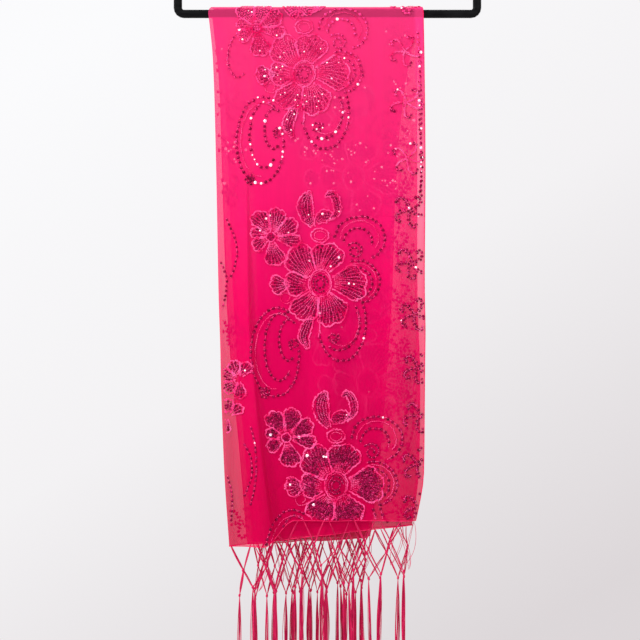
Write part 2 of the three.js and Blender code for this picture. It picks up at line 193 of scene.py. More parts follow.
def layer_shares(start, end, crease, drop):
    """Shares of the way across a layer. Below the bar they come close together on the crease,
    where the layer reaches it."""
    even = np.linspace(0, 1, sum(LAYER_COLUMNS) + 1)
    left, right = min(start, end), max(start, end)
    if left > crease:
        return even
    foot = max(crease - CREASE_RAMP, left + CREASE_FOOT * (crease - left))
    marks = (right, crease + CREASE_FLANK, crease, foot, left)
    counts = np.cumsum((0, *LAYER_COLUMNS))
    places = np.interp(np.arange(counts[-1] + 1), counts, marks)
    shares = (places - right) / (left - right)
    gathered = shares if start > end else 1 - shares[::-1]
    return mix(even, gathered, smooth(*COLUMNS_GATHER, drop))


# Where each layer lies across the flat cloth, as shares of its width.
LAYER_FLAT = {"outer": (0, 0.347), "middle": (0.353, 0.69), "inner": (0.696, 1)}


def folded_line(fall, share):
    """The folded cloth at one share of its fall, from the outer layer's hemmed edge to the inner
    layer's: across, out from the bar, the hem's drop, and the place across the flat cloth."""
    drop = share * deepest(fall)
    at = layer_places(fall, drop)
    xs, outs, hems, flats = [], [], [], []

    def layer(name):
        start, end, _, _ = LAYER_ENDS[name]
        t = layer_shares(at[start], at[end], edge_at(fall, "crease", drop), drop)
        x = mix(at[start], at[end], t)
        xs.append(x)
        outs.append(at[name] + ripple(fall, x, drop))
        hems.append(hem_along(fall, name, t))
        flats.append(mix(*LAYER_FLAT[name], t))

    def turn(x, first, second, way, hem):
        angle = np.pi * np.arange(1, FOLD_STEPS) / FOLD_STEPS
        radius = (at[first] - at[second]) / 2
        xs.append(x + way * radius * np.sin(angle))
        outs.append((at[first] + at[second]) / 2 + radius * np.cos(angle) + ripple(fall, x, drop))
        hems.append(np.full(FOLD_STEPS - 1, float(fall["hem"][hem])))
        flats.append(mix(LAYER_FLAT[first][1], LAYER_FLAT[second][0], angle / np.pi))

    layer("outer")
    turn(at["turn_one"], "outer", "middle", -1, "fold_one")
    layer("middle")
    turn(at["turn_two"], "middle", "inner", 1, "fold_two")
    layer("inner")
    return np.concatenate(xs), np.concatenate(outs), np.concatenate(hems), np.concatenate(flats)


def hanging(fall, x, out, drop):
    """A point below the bar, in metres."""
    y = fall["side"] * (BAR_HALF_DEPTH + out)
    return np.stack(np.broadcast_arrays(x, y, -(BAR_DROP + drop)), -1) * MM


def over_bar(x, out, angle):
    """A point on the way over the bar, by its angle from the front, in metres."""
    across = unit(np.stack((-BAR_HALF_HEIGHT * np.cos(angle), BAR_HALF_DEPTH * np.sin(angle)), -1))
    y = -BAR_HALF_DEPTH * np.cos(angle) + across[..., 0] * out
    z = -BAR_DROP + BAR_HALF_HEIGHT * np.sin(angle) + across[..., 1] * out
    return np.stack(np.broadcast_arrays(x, y, z), -1) * MM


BAR_OUTER_RADIUS = (BAR_HALF_HEIGHT + BAR_HALF_DEPTH) / 2 + float(layer_places(FRONT_FALL, 0.0)["outer"])
OVER_BAR = math.pi * BAR_OUTER_RADIUS


def layer_around(fall, name, x, drop):
    """The tables' drop, the layers' places and the hem's drop for a point on a layer. The tables
    are written for the deepest hem, and each place across is scaled from them to its own hem."""
    start, end, start_hem, end_hem = LAYER_ENDS[name]
    hem = 0.5 * (fall["hem"][start_hem] + fall["hem"][end_hem])
    for _ in range(2):
        table_drop = drop / hem * deepest(fall)
        at = layer_places(fall, table_drop)
        hem = hem_along(fall, name, np.clip((x - at[start]) / (at[end] - at[start]), 0, 1))
    return table_drop, at, hem


def layer_spot(fall, name, x, drop, lift):
    """A point on one layer's outward face, at a place across and a drop below the bar."""
    table_drop, at, _ = layer_around(fall, name, x, drop)
    return hanging(fall, x, at[name] + ripple(fall, x, table_drop) + lift, drop)


def on_outer(x, along, lift):
    """A point on the outer layer. along runs down the front from the bar; below 0 it goes over the
    bar and down the back, where x keeps its share of the layer's width."""
    front_bar, back_bar = layer_places(FRONT_FALL, 0.0), layer_places(BACK_FALL, 0.0)
    share = (x - front_bar["right"]) / (front_bar["turn_one"] - front_bar["right"])
    angle = np.clip(-along / OVER_BAR, 0, 1) * np.pi
    crossing = smooth(0, np.pi, angle)
    bar_x = mix(x, mix(back_bar["right"], back_bar["turn_one"], share), crossing)
    bar_out = mix(front_bar["outer"], back_bar["outer"], crossing)
    top = over_bar(bar_x, bar_out + lift, angle)
    back_drop = np.clip(-along - OVER_BAR, 0, None)
    at = layer_places(BACK_FALL, back_drop)
    back = layer_spot(BACK_FALL, "outer", mix(at["right"], at["turn_one"], share), back_drop, lift)
    front = layer_spot(FRONT_FALL, "outer", x, np.clip(along, 0, None), lift)
    where = np.where((along < 0)[..., None], top, front)
    return np.where((along < -OVER_BAR)[..., None], back, where)


SEWING_MARGIN = 2.0


def on_layer(fall, name, x, along):
    """Whether a place is on a layer and clear of its edges and hem."""
    _, at, hem = layer_around(fall, name, x, along)
    start, end, _, _ = LAYER_ENDS[name]
    low, high = np.minimum(at[start], at[end]), np.maximum(at[start], at[end])
    inside = (x > low + SEWING_MARGIN) & (x < high - SEWING_MARGIN)
    return inside & (along < hem - SEWING_MARGIN)


def fits_outer(x, along):
    """Whether a place drawn for on_outer is on the cloth. x is a place across the front there."""
    front = on_layer(FRONT_FALL, "outer", x, np.clip(along, 0, None))
    return front & (-along - OVER_BAR < BACK_FALL["hem"]["right_edge"] - SEWING_MARGIN)


def on_hidden_layer(fall, name):
    """Where a stitch goes on a layer under the outer one, and what fits on it."""

    def place(*where):
        return layer_spot(fall, name, *where)

    def fits(x, along):
        return on_layer(fall, name, x, along) & (along > SEWING_MARGIN)

    return place, fits


# Pieces.
def in_scene(name, data):
    made = bpy.data.objects.new(name, data)
    bpy.context.scene.collection.objects.link(made)
    return made


def finished_piece(mesh, finish):
    piece = in_scene(mesh.name, mesh)
    mesh.materials.append(finish)
    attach(piece, "root")
    return piece


def mesh_of(name, points, faces):
    """A mesh from points in metres and faces that all have as many corners."""
    mesh = bpy.data.meshes.new(name)
    points = np.ascontiguousarray(points, dtype=np.float32)
    faces = np.ascontiguousarray(faces, dtype=np.int32)
    corners = faces.shape[1]
    mesh.vertices.add(len(points))
    mesh.vertices.foreach_set("co", points.ravel())
    mesh.loops.add(faces.size)
    mesh.loops.foreach_set("vertex_index", faces.ravel())
    mesh.polygons.add(len(faces))
    mesh.polygons.foreach_set("loop_start", np.arange(0, faces.size, corners, dtype=np.int32))
    mesh.update(calc_edges=True)
    mesh.validate()
    return mesh


def mesh_from(bm, name):
    mesh = bpy.data.meshes.new(name)
    bm.to_mesh(mesh)
    bm.free()
    return mesh


def shawl_cloth(finish):
    """The whole cloth as one sheet, from the front hem over the bar to the back hem."""
    sections, across = [], []

    def add_fall(fall, shares):
        for share in shares:
            x, out, hem, flat = folded_line(fall, share)
            sections.append(hanging(fall, x, out, share * hem))
            across.append(flat)

    add_fall(FRONT_FALL, np.linspace(1, 0, FALL_ROWS + 1)[:-1])
    front_x, front_out, _, flat = folded_line(FRONT_FALL, 0.0)
    back_x, back_out, _, _ = folded_line(BACK_FALL, 0.0)
    for angle in np.linspace(0, np.pi, BAR_ROWS + 1):
        crossing = smooth(0, np.pi, angle)
        x, out = mix(front_x, back_x, crossing), mix(front_out, back_out, crossing)
        sections.append(over_bar(x, out, np.full_like(x, angle)))
        across.append(flat)
    add_fall(BACK_FALL, np.linspace(0, 1, FALL_ROWS + 1)[1:])
    places = np.array(sections)
    rows, columns = places.shape[:2]

    bm = bmesh.new()
    flat_map = bm.loops.layers.uv.new("flat")
    bmesh.ops.create_grid(bm, x_segments=columns - 1, y_segments=rows - 1, size=1)

    def grid_place(vert):
        # The grid's corners run from -1 to 1, so each says which row and column it is.
        return round((vert.co.y + 1) * (rows - 1) / 2), round((vert.co.x + 1) * (columns - 1) / 2)

    for face in bm.faces:
        face.smooth = True
        for loop in face.loops:
            row, column = grid_place(loop.vert)
            down = row / (rows - 1)
            loop[flat_map].uv = (across[row][column] * CUT_WIDTH * MM, down * CUT_LENGTH * MM)
    for vert in bm.verts:
        vert.co = places[grid_place(vert)]
    return finished_piece(mesh_from(bm, "shawl_cloth"), finish), places


def threads_mesh(name, paths, radii, roundness=0):
    """Threads along paths of points in metres, thinned towards both ends."""
    curve = bpy.data.curves.new(name, "CURVE")
    curve.dimensions = "3D"
    curve.bevel_depth = 1.0
    curve.bevel_resolution = roundness
    curve.use_fill_caps = True
    for path, radius in zip(paths, radii):
        spline = curve.splines.new("POLY")
        spline.points.add(len(path) - 1)
        spline.points.foreach_set("co", np.column_stack((path, np.ones(len(path)))).ravel())
        thickness = np.full(len(path), float(radius))
        thickness[[0, -1]] *= 0.5
        spline.points.foreach_set("radius", thickness)
    holder = bpy.data.objects.new(name, curve)
    mesh = bpy.data.meshes.new_from_object(holder)
    bpy.data.objects.remove(holder)
    bpy.data.curves.remove(curve)
    mesh.name = name
    mesh.materials.clear()
    mesh.shade_smooth()
    return mesh


def small_shape(build):
    """The corners and triangles of one small shape, which build makes in a bmesh."""
    bm = bmesh.new()
    build(bm)
    bmesh.ops.triangulate(bm, faces=bm.faces[:])
    bm.verts.index_update()
    corners = np.array([v.co[:] for v in bm.verts])
    triangles = np.array([[v.index for v in f.verts] for f in bm.faces])
    bm.free()
    return corners, triangles


SEQUIN_CUP = {"thickness": 0.45, "depth": -0.12}
STITCH_HEIGHT = 0.55
KNOT_LOBES = 0.16


@small_shape
def sequin_shape(bm):
    """A cupped sequin with its middle pressed in, 1 across its radius."""
    bmesh.ops.create_circle(bm, cap_ends=True, radius=1, segments=8)
    bmesh.ops.inset_region(bm, faces=bm.faces[:], **SEQUIN_CUP)
    bottom = bmesh.ops.extrude_face_region(bm, geom=bm.faces[:])
    moved = [v for v in bottom["geom"] if isinstance(v, bmesh.types.BMVert)]
    bmesh.ops.translate(bm, verts=moved, vec=(0, 0, -SEQUIN_CUP["depth"]))
    bmesh.ops.recalc_face_normals(bm, faces=bm.faces[:])


@small_shape
def stitch_shape(bm):
    """One chain stitch: a low lens of thread, 1 long and 1 wide either way from its middle."""
    bmesh.ops.create_icosphere(bm, subdivisions=1, radius=1)
    bmesh.ops.scale(bm, vec=(1, 1, STITCH_HEIGHT), verts=bm.verts[:])


@small_shape
def fine_stitch_shape(bm):
    """A thinner stitch with fewer faces."""
    bmesh.ops.create_uvsphere(bm, u_segments=4, v_segments=2, radius=1)


@small_shape
def knot_shape(bm):
    bmesh.ops.create_uvsphere(bm, u_segments=10, v_segments=7, radius=1)
    for vert in bm.verts:
        vert.co.xy *= 1 + KNOT_LOBES * math.sin(3 * math.atan2(vert.co.y, vert.co.x) + 4 * vert.co.z)


def strewn_mesh(name, shape, spots, along, out, sizes, widths):
    """Copies of a small shape at spots, each turned along its line and out from the cloth."""
    corners, triangles = shape
    along = unit(along)
    aside = unit(np.cross(out, along))
    out = np.cross(along, aside)
    local = corners[None] * np.stack((sizes, widths, widths), -1)[:, None]
    points = spots[:, None]
    for k, way in enumerate((along, aside, out)):
        points = points + local[..., k : k + 1] * way[:, None]
    faces = triangles[None] + (np.arange(len(spots)) * len(corners))[:, None, None]
    return mesh_of(name, points.reshape(-1, 3), faces.reshape(-1, 3))


# Drawing in stitches. Lines are drawn flat, across and down, in millimetres.
def line_through(points, steps=14):
    """A smooth line through a few points."""
    p = np.array(points, float)
    p = np.vstack((2 * p[0] - p[1], p, 2 * p[-1] - p[-2]))
    t = np.linspace(0, 1, steps, endpoint=False)[:, None]
    parts = []
    for a, b, c, d in zip(p[:-3], p[1:-2], p[2:-1], p[3:]):
        squared, cubed = 2 * a - 5 * b + 4 * c - d, 3 * b - a - 3 * c + d
        parts.append(0.5 * (2 * b + (c - a) * t + squared * t**2 + cubed * t**3))
    return np.vstack((*parts, p[-2][None]))


def round_about(centre, angle, across, down):
    return np.stack((centre[0] + across * np.cos(angle), centre[1] + down * np.sin(angle)), -1)


def curl(centre, outer, inner, start, turns, steps=40):
    """A spiral line that winds in from one radius to another. Angles are in turns."""
    t = np.linspace(0, 1, steps)
    angle = 2 * np.pi * (start + turns * t)
    radius = mix(outer, inner, t**0.8)
    return round_about(centre, angle, radius, radius)


SCROLL_STEPS = 44


def scroll(centre, half_width, half_height, start, turns, shrink=0.0):
    """A part of an oval that draws in as it goes. Angles are in turns, clockwise as seen."""
    t = np.linspace(0, 1, SCROLL_STEPS)
    angle = 2 * np.pi * (start + turns * t)
    size = 1 - shrink * t
    return round_about(centre, angle, half_width * size, half_height * size)


def spaced(line, spacing, start):
    """Points set at even spacing along a line, with the line's direction at each. start is where
    the first one is, as a share of the spacing."""
    steps = np.linalg.norm(np.diff(line, axis=0), axis=1)
    length = np.concatenate(((0,), np.cumsum(steps)))
    if length[-1] < spacing * 0.6:
        return np.zeros((0, 2)), np.zeros((0, 2))
    at = np.arange(start * spacing, length[-1], spacing)

    def along(where):
        return np.stack([np.interp(where, length, line[:, k]) for k in (0, 1)], -1)

    return along(at), along(at + 0.5) - along(at - 0.5)


# How stitches and sequins lie on the cloth. Lengths and widths are from the middle, lift is off the
# cloth, stray and tip are how unevenly they lie, and a line's first is at a share of its spacing.
STITCHES = {
    # spacing, length, width, lift, stray, tip
    "outline": (1.7, 1.7, 0.98, 0.7, 0.46, 0.2),
    "fine": (2.7, 1.8, 0.58, 0.95, 0.28, 0.0),
    "running": (2.7, 1.8, 0.58, 0.35, 0.28, 0.0),
}
FIRST_STITCH = 0.3
STITCH_VARIES = 0.15
SEQUIN_LAY = {"start": 0.4, "lift": 1.0, "stray": 0.36, "tip": 0.16, "vary": 0.08}


class Embroidery:
    """Gathers stitched lines on one face of the cloth, and the sequins sewn along them, which are
    given by their spacing and radius."""

    def __init__(self):
        self.lines = {kind: [] for kind in STITCHES}
        self.sequins = []

    def outline(self, line):
        self.lines["outline"].append(line)

    def rib(self, line, raised=True):
        """A run of fine stitches, over the sequins beside it or, when not raised, under them."""
        self.lines["fine" if raised else "running"].append(line)

    def chain(self, line, spacing, radius):
        self.sequins.append((line, spacing, radius))

    def sewn_chain(self, line, spacing=6.8, radius=2.0):
        """Sequins with the thread that holds them showing between."""
        self.chain(line, spacing, radius)
        self.rib(line, raised=False)


# A petal is this much shorter at its sides and this narrow at its foot, shares of the whole.
PETAL_ROUNDING = 0.2
PETAL_FOOT = 0.86
SCALLOPS = 1.5
SCALLOP_BOTTOM = 0.95
SCALLOP_HEIGHT = 0.075
EDGE_THREADS_GAP = 0.6
# Sequin rows stand side by side in a petal: where every other one starts, and where they end.
ROW_STARTS = ((0.14, 0.34), (0.28, 0.5))
ROW_ENDS = (0.86, 0.95)
ROW_SPREAD = 0.94
PETAL_SEQUIN_GAP = 3.5


def sew_fan(work, centre, turn, base, reach, half_angle, row_gap, swirl=8.0, sequin=1.6, raised=True):
    """A broad petal with a scalloped edge. Curved rows of sequins fill its outer part, with raised
    or flat ribs of thread between. turn and half_angle are in degrees, clockwise from the right."""
    middle, half = math.radians(turn), math.radians(half_angle)
    bend = math.radians(swirl)

    def at(share, height):
        radius = base + (reach * (1 - PETAL_ROUNDING * np.abs(share) ** 2.4) - base) * height
        width = half * mix(PETAL_FOOT, 1, np.clip(height, 0, 1))
        angle = middle + width * share + bend * (height - 0.5) * (1 - share**2)
        return round_about(centre, angle, radius, radius)

    up = np.linspace(0, 0.94, 12)
    edge = np.linspace(-1, 1, 44)
    wave = np.abs(np.sin(edge * np.pi * SCALLOPS + turn * 0.1))
    sides = [at(side, up) for side in (-1.0, 1.0)]
    rim = at(edge, SCALLOP_BOTTOM + SCALLOP_HEIGHT * wave)
    line = np.vstack((sides[0], rim[3:-3], sides[1][::-1]))
    work.outline(line)
    work.rib(line[1:-1] + EDGE_THREADS_GAP)
    count = max(3, round(2 * half * reach * 0.84 / row_gap))
    for i in range(count):
        share = -1 + 2 * (i + 0.5) / count
        low, high = rng.uniform(*ROW_STARTS[i % 2]), rng.uniform(*ROW_ENDS)
        work.chain(at(share * ROW_SPREAD, np.linspace(low, high, 12)), PETAL_SEQUIN_GAP, sequin)
        if i:
            between = share - 1 / count
            work.rib(at(between * ROW_SPREAD, np.linspace(0.04, 0.95, 10)), raised)


LEAF_ENDS = (0.06, 0.96)
LEAF_SEQUINS = (3.4, 1.55)


def sew_leaf(work, spine, half_width, rows, fullest):
    """A leaf along a curved spine, widest at a share of its length, with rows along it."""
    spine = line_through(spine)
    t = np.linspace(0, 1, len(spine))
    ahead = np.gradient(spine, axis=0)
    aside = np.stack((-ahead[:, 1], ahead[:, 0]), -1) / np.linalg.norm(ahead, axis=1)[:, None]
    bulge = t ** (math.log(0.5) / math.log(fullest))
    width = half_width * np.sin(np.pi * mix(*LEAF_ENDS, bulge)) ** 0.8
    sides = [spine + aside * (side * width)[:, None] for side in (-1, 1)]
    work.outline(np.vstack((sides[0], sides[1][::-1])))
    for share in np.linspace(-1, 1, rows + 2)[1:-1]:
        row = spine + aside * (share * 0.9 * width)[:, None]
        work.chain(row[4:-3], *LEAF_SEQUINS)
        work.rib((row + aside * 0.35 * half_width / rows)[1:-1])


BIG_PETALS = (
    # turn, reach, half angle
    (-76, 53, 32), (-131, 58, 27), (178, 45, 27), (-2, 60, 30), (66, 56, 30), (121, 53, 27),
)
SMALL_PETALS = (
    (-122, 38, 24), (-73, 38, 23), (-29, 38, 21), (11, 38, 16), (80, 37, 28), (150, 27, 24),
    (-162, 27, 20),
)
SMALL_FLOWER_AT = (-63, -60)
BIG_SWIRL, SMALL_SWIRL = 12, -9
SMALL_FOOT = 8
LEAVES = (
    # spine, half width, rows of sequins, share of its length where it is widest
    (((-10, 42), (-17, 56), (-21, 70), (-15, 84)), 7.5, 3, 0.5),
    (((-9, -73), (-17, -88), (-19, -104), (-13, -119)), 10.5, 4, 0.54),
    (((-5, -79), (2, -85), (10, -87), (17, -84)), 8.5, 3, 0.5),
    (((13, -82), (22, -92), (21, -107), (14, -116), (7, -112)), 5.0, 2, 0.5),
)
BARE_BUD_AT = (0, -62)
STEM = ((-1, 34), (0, 52), (-1, 68))
FLOWER_OVAL = (14.5, 17.5)
# Rings of sequins in the oval: their share of its size, and their first point along it.
OVAL_RINGS = ((0.62, 6), (0.36, 0))
RING_SEQUINS = (3.8, 1.45)
SMALL_OVAL_SEQUINS = (3.2, 1.35)
ROSETTE_SEQUINS = (4.8, 1.6)
SEQUIN_SCROLLS = (
    # centre across and down, half width, half height, start, turns, shrink
    (-56, 92, 36, 62, -0.17, -0.85, 0.2),
    (-52, 84, 21, 47, -0.15, -0.72, 0.15),
    (-40, 74, 13, 28, -0.15, -0.7, 0.1),
    (28, 50, 31, 50, -0.12, 0.57, 0),
    (24, 50, 27, 36, -0.1, 0.43, 0),
    (52, -58, 33, 29, 0.5, 0.68, 0.05),
    (50, -54, 19, 19, 0.5, 0.55, 0.1),
    (48, -2, 29, 28, -0.3, 0.5, 0),
    (46, -1, 21, 20, -0.27, 0.45, 0),
)
THREAD_SCROLLS = (
    (-56, 92, 31, 55, -0.15, -0.6, 0.2),
    (52, -58, 26, 24, 0.5, 0.6, 0.1),
    (28, 50, 22, 30, -0.08, 0.45, 0),
    (48, -2, 25, 24, -0.3, 0.45, 0),
    (-44, 18, 9, 8, 0.1, 1.1, 0.5),
)
ROSETTES = ((45, -42, 12, 0.6), (17, 70, 8, 0.9), (-33, 78, 8, 0.3), (-70, 140, 7, 0.2))


def sew_flower_motif(work, x, along, size=1.0, row_gap=5.3, sequin=1.5, raised=True):
    """One repeat: a large flower, a small one, leaf buds and sequin scrolls."""
    centre = np.array((x, along), float)

    def at(px, py):
        return centre + np.array((px, py)) * size

    oval = scroll(centre, FLOWER_OVAL[0] * size, FLOWER_OVAL[1] * size, 0, 1)
    work.outline(oval)
    work.rib(centre + 0.86 * (oval - centre))
    for share, first in OVAL_RINGS:
        work.sewn_chain((centre + share * (oval - centre))[first:], *RING_SEQUINS)
    foot = FLOWER_OVAL[1] * size
    for turn, reach, half_angle in BIG_PETALS:
        sew_fan(work, centre, turn, foot, reach * size, half_angle, row_gap, BIG_SWIRL, sequin, raised)
    small = at(*SMALL_FLOWER_AT)
    work.outline(curl(small, 6, 6, 0, 1, 18))
    work.chain(curl(small, 4.5, 1, 0, 1.6, 24), *SMALL_OVAL_SEQUINS)
    for turn, reach, half_angle in SMALL_PETALS:
        rest = (half_angle, row_gap * 0.9, SMALL_SWIRL, sequin, raised)
        sew_fan(work, small, turn, SMALL_FOOT * size, reach * size, *rest)
    sew_fan(work, at(-36, 0), 174, 3, 28 * size, 36, 5.0)
    for spine, half_width, rows, fullest in LEAVES:
        sew_leaf(work, [at(*spot) for spot in spine], half_width, rows, fullest)
    work.outline(scroll(at(*BARE_BUD_AT), 11.6, 9, 0, 1))
    work.rib(scroll(at(*BARE_BUD_AT), 7.5, 5.5, 0, 1))
    work.outline(line_through([at(*spot) for spot in STEM]))
    for row, sew in ((SEQUIN_SCROLLS, work.sewn_chain), (THREAD_SCROLLS, work.rib)):
        for px, py, half_width, half_height, start, turns, shrink in row:
            sew(scroll(at(px, py), half_width * size, half_height * size, start, turns, shrink))
    for px, py, radius, start in ROSETTES:
        work.sewn_chain(curl(at(px, py), radius, 2.5, start, 1.6), *ROSETTE_SEQUINS)


# Directions of a star's arms in turns, and one arm's line, along and aside.
STAR_ARMS = (-0.34, -0.13, 0.06, 0.25, 0.45)
STAR_ARM = ((1.5, 0), (7, 0.8), (13, 0.9), (18, -0.6), (20.6, -4.4), (18.6, -8.6), (14.4, -9))
STAR_SEQUINS = (4.4, 1.8)
STAR_SIDE_SEQUINS = (5.6, 1.5)


def sew_star(work, x, along, size=1.0, turn=0.0, sequins_from=0):
    """A five-armed star. Each arm runs out and hooks round at its end, all the same way.
    sequins_from is the step along each arm where its sequins begin; before it is thread alone."""
    for direction in STAR_ARMS:
        angle = 2 * np.pi * (direction + turn) + rng.normal(0, 0.05)
        out = np.array((math.cos(angle), math.sin(angle)))
        aside = np.array((-out[1], out[0]))
        longer = size * rng.uniform(0.93, 1.05)
        line = line_through([(x, along) + longer * (out * a + aside * b) for a, b in STAR_ARM], 8)
        work.chain(line[sequins_from:], *STAR_SEQUINS)
        if not sequins_from:
            work.chain(line[5:] + aside * 2.1, *STAR_SIDE_SEQUINS)
        work.rib(line + aside * 1.2)
        if sequins_from:
            work.outline(line[: sequins_from + 6])


# The flower repeats down the front, from the bar. The lower ones have more and larger sequins, and
# the lowest has flat ribs.
FRONT_FLOWERS = (
    {"x": -30.4, "along": 79.2, "size": 0.98, "row_gap": 5.6, "sequin": 1.15},
    {"x": -9.7, "along": 350.9, "size": 1.0, "row_gap": 5.1, "sequin": 1.5},
    {"x": 11, "along": 611, "size": 1.02, "row_gap": 4.5, "sequin": 1.85, "raised": False},
)
BACK_FLOWERS = tuple((-28 + 3 * k, FRONT_FLOWERS[0]["along"] - 266 * k) for k in (1, 2, 3))
STARS = (
    (99, 49.5), (101.6, 116.7), (102.9, 189.2), (106.8, 256.5), (108, 325), (111.9, 391),
    (115.8, 459.6), (118.4, 521.7), (115.8, 583.8), (115.8, 639.5),
)
# The first stars are thread, with sequins from here on along each arm.
PINK_STARS = 3
PINK_ARM = 26
BACK_STARS = 10
BACK_STAR_ACROSS = 101
STAR_PITCH = 68
STAR_SWAY = 0.03
EDGE_CHAINS = (
    # At the right edge, then at the left beside the long crease.
    ((117, 24), (119, 70), (121.5, 120), (120.5, 170), (121, 240)),
    ((120, 62), (119, 108), (119, 150), (122, 190), (119, 236)),
    ((-112, 20), (-126, 40), (-129, 66), (-118, 84), (-106, 78)),
    ((-131, 267), (-121, 288), (-117, 308), (-120, 330), (-125, 343)),
    ((-138, 322), (-131, 341), (-131, 362), (-136, 386)),
    ((-108, 557), (-99, 575), (-98, 600), (-107, 625)),
    ((-99, 535), (-93, 560), (-92, 600), (-99, 636)),
    ((-129, 599), (-124, 620), (-123, 640), (-125, 659)),
)
EDGE_SEQUINS = (6.2, 1.7)
LEFT_FLOWERS = (((-114, 474), 180, 25), ((-128, 522), 200, 22))
LEFT_FLOWER_TURNS = (-95, -40, 14, 68, 122)
# Under the outer layer.
HIDDEN_FLOWERS = ((34, 214), (52, 480))
HIDDEN_STARS = (
    (-128, 60), (-128, 118), (-128, 176), (-128, 232), (-127, 412), (-112, 660),
    *((92, along) for along in range(32, 650, STAR_PITCH)),
)


def front_and_back_embroidery():
    """Everything sewn on the outer layer, from the front hem over the bar to the back hem."""
    work = Embroidery()
    for flower in FRONT_FLOWERS:
        sew_flower_motif(work, **flower)
    for x, along in BACK_FLOWERS:
        sew_flower_motif(work, x, along)
    for i, (x, along) in enumerate(STARS):
        sway = STAR_SWAY * math.sin(i * 2.1)
        sew_star(work, x, along, 1.0, sway, PINK_ARM if i < PINK_STARS else 0)
    for k in range(1, BACK_STARS + 1):
        along = STARS[0][1] - k * STAR_PITCH
        sew_star(work, BACK_STAR_ACROSS, along, 0.95, STAR_SWAY * math.sin(k))
    for line in EDGE_CHAINS:
        work.sewn_chain(line_through(line), *EDGE_SEQUINS)
    for centre, first, reach in LEFT_FLOWERS:
        for turn in LEFT_FLOWER_TURNS:
            sew_fan(work, centre, first + turn, 5, reach, 25, 5.0)
    return work


def hidden_embroidery():
    """What is sewn on the layer under the outer one and shows through it faintly."""
    work = Embroidery()
    for x, along in HIDDEN_FLOWERS:
        sew_flower_motif(work, x, along)
    for x, along in HIDDEN_STARS:
        sew_star(work, x, along)
    return work


# Share of the sequins given a painted glint, a pale colour with a faint glow, by how far down the front
# they are.
GLINT_DROPS = (-900, 0, 50, 110, 195, 225, 290, 700)
GLINT_SHARES = (0.01, 0.03, 0.05, 0.12, 0.28, 0.07, 0.01, 0.004)
HIDDEN_GLINTS = 0.6
GLINT_SIZES = (0.5, 1.2)
GLINT_SWELL = 0.95


def laid_out(rows, place, fits, start, lift, stray, tip, vary):
    """Where the stitches or sequins of many lines go. Each row is a line, its spacing and a size.
    Gives the places drawn, the places, ways ahead and ways out on the cloth, and the sizes."""
    spots, ways, sizes = [], [], []
    for line, spacing, size in rows:
        at, way = spaced(line, spacing, start)
        spots.append(at)
        ways.append(way)
        sizes.append(np.full(len(at), size))
    spots, ways, sizes = np.vstack(spots), np.vstack(ways), np.concatenate(sizes)
    spots = spots + rng.normal(0, stray, spots.shape)
    kept = fits(*spots.T)
    spots, ways, sizes = spots[kept], ways[kept], sizes[kept]
    here = place(*spots.T, lift)
    ahead = place(*(spots + ways).T, lift) - here
    above = unit(place(*spots.T, lift + 1) - here)
    above = above + rng.normal(0, tip, above.shape)
    return spots, (here, ahead, above), sizes * MM * rng.uniform(1 - vary, 1 + vary, len(sizes))


def sew_on(name, work, place, fits, finishes, glints=1.0):
    """Lays an embroidery on the cloth: place says where a stitch goes, and fits what stays on."""
    thread, sequin, glint = finishes
    pieces = []
    for kind, (spacing, length, width, *lay) in STITCHES.items():
        rows = [(line, spacing, length) for line in work.lines[kind]]
        _, lies, lengths = laid_out(rows, place, fits, FIRST_STITCH, *lay, STITCH_VARIES)
        widths = np.full(len(lengths), width * MM)
        shape = stitch_shape if kind == "outline" else fine_stitch_shape
        mesh = strewn_mesh(f"{name}_{kind}_stitches", shape, *lies, lengths, widths)
        pieces.append(finished_piece(mesh, thread))

    spots, lies, radii = laid_out(work.sequins, place, fits, **SEQUIN_LAY)
    # Some sequins get the painted glint finish in place of the wine one.
    chance = glints * np.interp(spots[:, 1], GLINT_DROPS, GLINT_SHARES)
    painted_glints = rng.uniform(0, 1, len(spots)) < chance
    for label, chosen, finish in (("sequins", ~painted_glints, sequin), ("painted_glint_sequins", painted_glints, glint)):
        if not chosen.any():
            continue
        sizes = radii[chosen]
        if finish == glint:
            sizes = sizes * GLINT_SWELL * rng.uniform(*GLINT_SIZES, len(sizes))
        lie = [row[chosen] for row in lies]
        mesh = strewn_mesh(f"{name}_{label}", sequin_shape, *lie, sizes, sizes)
        pieces.append(finished_piece(mesh, finish))
    return pieces


# Hem and fringe.
HEM_RADIUS = 0.6


def rolled_hem(places, finish):
    """The narrow rolled hem round all four sides of the cloth."""
    sides = (places[0], places[-1], places[::3, 0], places[::3, -1])
    mesh = threads_mesh("rolled_hem", sides, [HEM_RADIUS * MM] * len(sides), 1)
    return finished_piece(mesh, finish)


ROOTS = 20
FIRST_ROW_DROP = 29
SECOND_ROW_DROP = 65
TASSEL_DROP = 184
TASSEL_STEP = 6
NET = {"count": 3, "slack": 0.7, "spread": 0.5, "steps": 8, "thickness": 0.52}
TASSEL_THREADS = 17
THREAD_RADIUS = 0.36
TASSEL = {"count": 1, "slack": 1.0, "spread": 0.85, "steps": 12, "thickness": THREAD_RADIUS}
TIP_STRAY = (1.2, 0.8, 2.5)
TIP_RISE = 3
KNOT_LENGTH, KNOT_WIDTH = 2.5, 1.6
LOOSE_THREADS = (0.004, 0.03, 0.3, 0.47, 0.71)
# The knots pull the tassels nearest the left corner inwards.
LEFT_PULL = 13
LEFT_PULL_ACROSS = (-88, -126)


